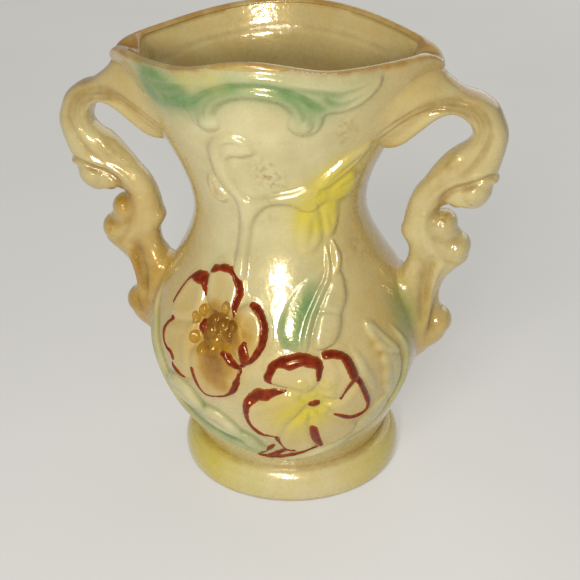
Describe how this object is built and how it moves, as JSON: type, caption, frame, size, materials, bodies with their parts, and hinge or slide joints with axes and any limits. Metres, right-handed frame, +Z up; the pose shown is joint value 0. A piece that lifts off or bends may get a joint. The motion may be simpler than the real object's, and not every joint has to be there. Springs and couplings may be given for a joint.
{
  "type": "two-handled vase",
  "caption": "Oval ceramic vase with a pinched mouth, acanthus scroll handles, moulded vine and flowers, a pearl lustre glaze and a full round foot.",
  "frame": {"origin": "on the table, under the middle of the foot", "axes": "+Z up through the mouth, +X towards the right handle, -Y towards the painted front"},
  "size_m": [0.1848, 0.1094, 0.202],
  "materials": {
    "body_glaze": "glossy pearl lustre over cream",
    "foot_glaze": "glossy yellow lustre",
    "handle_glaze": "glossy tan and cream lustre with amber pooled in the grooves",
    "scroll_glaze": "glossy green airbrushed under lustre",
    "vine_glaze": "glossy pearl lustre over cream",
    "blossom_glaze": "glossy yellow airbrushed under lustre",
    "leaf_glaze": "glossy green airbrushed under lustre",
    "petal_glaze": "glossy cream with dark red enamel outlines",
    "amber_eye_glaze": "glossy amber",
    "yellow_eye_glaze": "glossy yellow",
    "base_leaf_glaze": "glossy pale green under lustre"
  },
  "bodies": {
    "root": {"body_wall": "body_glaze", "foot_ring": "foot_glaze", "left_handle": "handle_glaze", "right_handle": "handle_glaze", "front_rim_scroll": "scroll_glaze", "front_vine": "vine_glaze", "front_neck_blossom": "blossom_glaze", "front_hanging_leaves": "leaf_glaze", "front_left_petals": "petal_glaze", "front_left_eye": "amber_eye_glaze", "front_right_petals": "petal_glaze", "front_right_eye": "yellow_eye_glaze", "front_left_base_leaf": "base_leaf_glaze", "front_right_base_leaf": "base_leaf_glaze", "back_rim_scroll": "scroll_glaze", "back_vine": "vine_glaze", "back_neck_blossom": "blossom_glaze", "back_hanging_leaves": "leaf_glaze", "back_left_petals": "petal_glaze", "back_left_eye": "amber_eye_glaze", "back_right_petals": "petal_glaze", "back_right_eye": "yellow_eye_glaze", "back_left_base_leaf": "base_leaf_glaze", "back_right_base_leaf": "base_leaf_glaze"}
  },
  "joints": []
}
